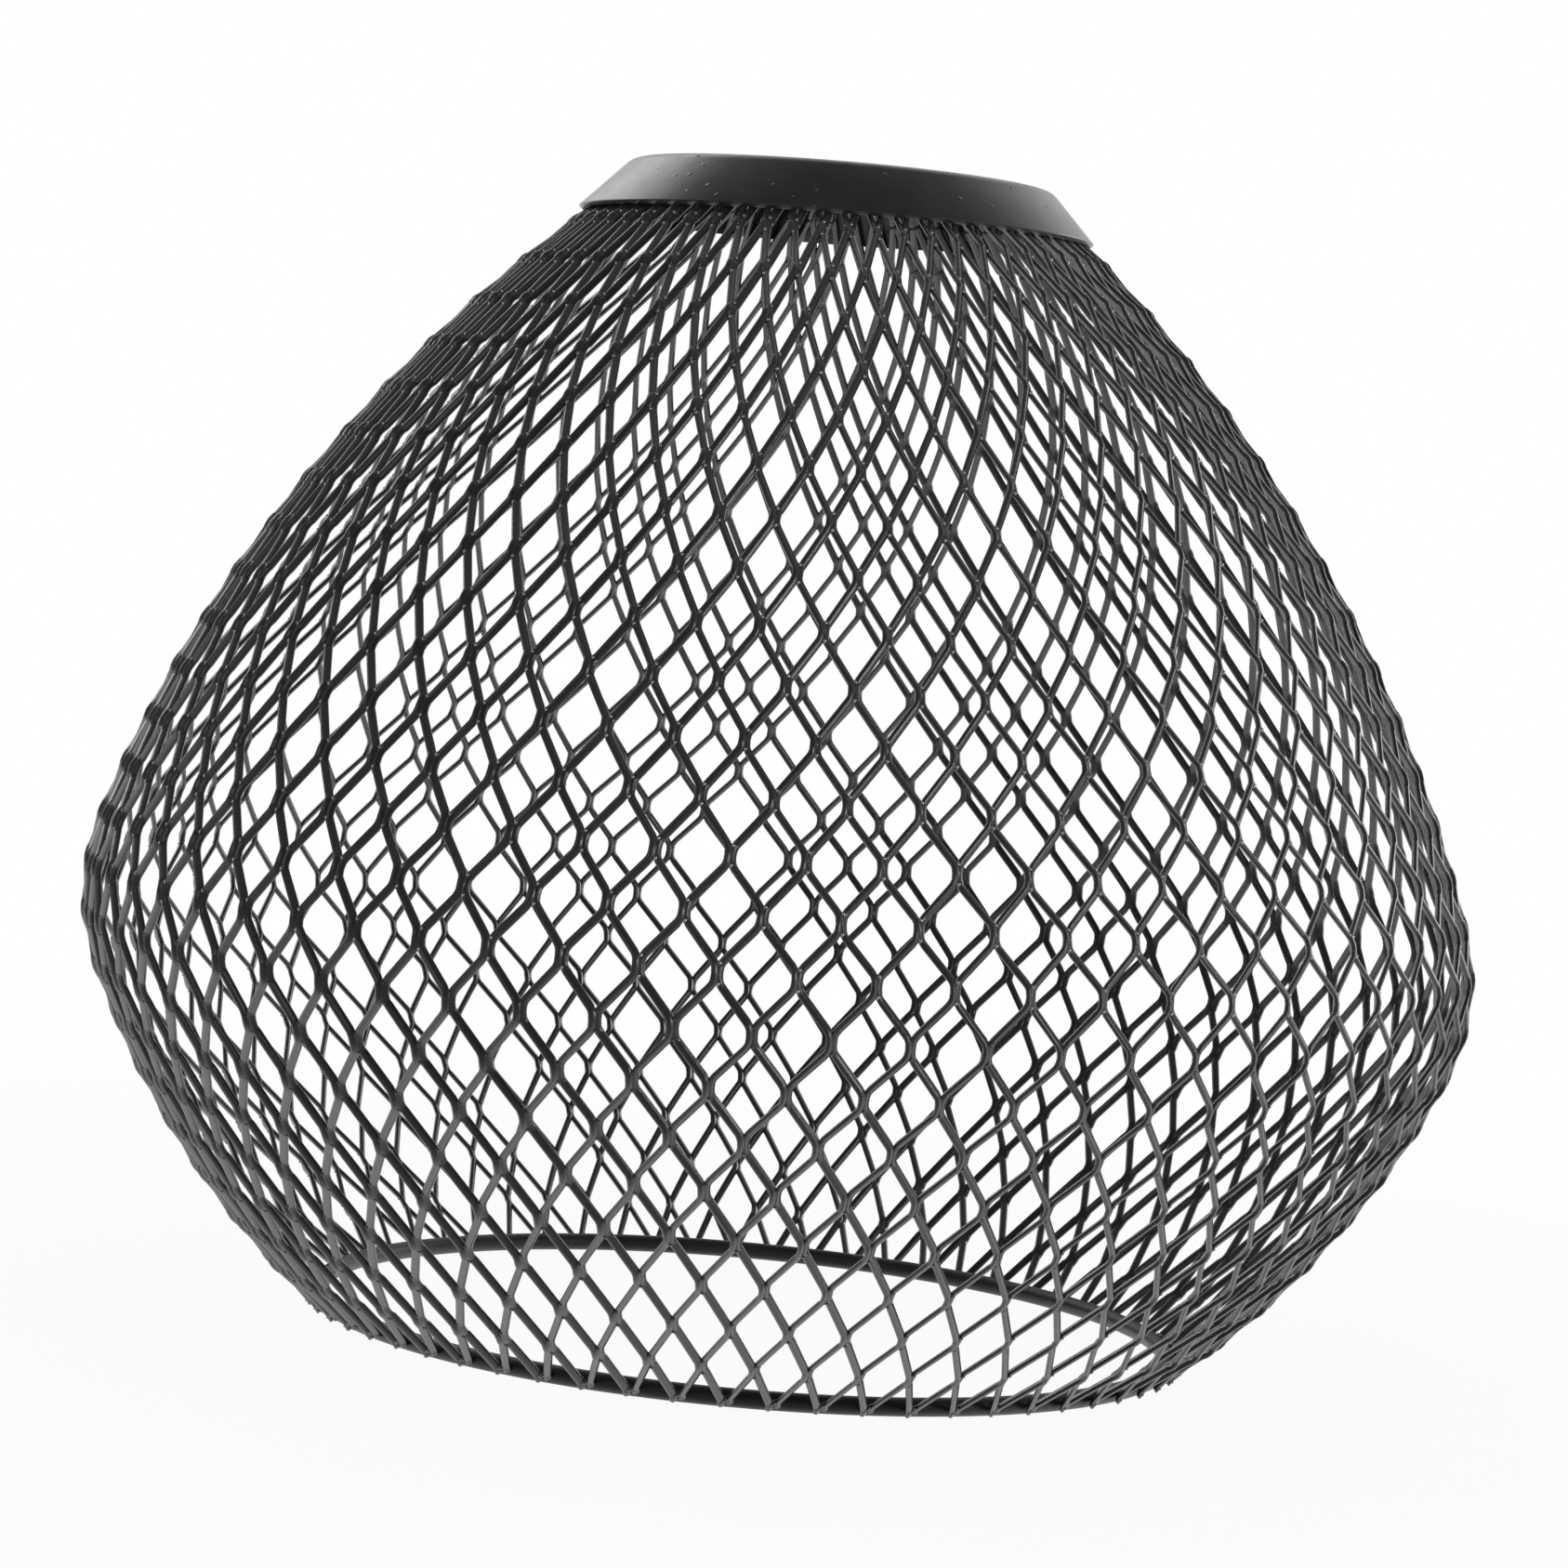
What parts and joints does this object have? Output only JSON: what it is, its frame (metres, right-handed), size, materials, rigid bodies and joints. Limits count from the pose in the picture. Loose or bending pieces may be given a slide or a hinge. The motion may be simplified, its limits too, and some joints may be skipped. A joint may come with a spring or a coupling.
{
  "type": "cage lampshade",
  "caption": "Gourd-shaped cage lampshade of black diamond mesh, with a pressed sheet collar that has the lampholder's hole and a round wire ring inside its open mouth.",
  "frame": {"origin": "middle of the mouth, level with the underside of the ring", "axes": "Z is the shade's axis, up from the mouth to the collar; X and Y lie in the plane of the mouth"},
  "size_m": [0.201, 0.201, 0.1683],
  "materials": {
    "black_paint": "satin"
  },
  "bodies": {
    "root": {"mesh_shade": "black_paint", "top_collar": "black_paint", "bottom_ring": "black_paint"}
  },
  "joints": []
}
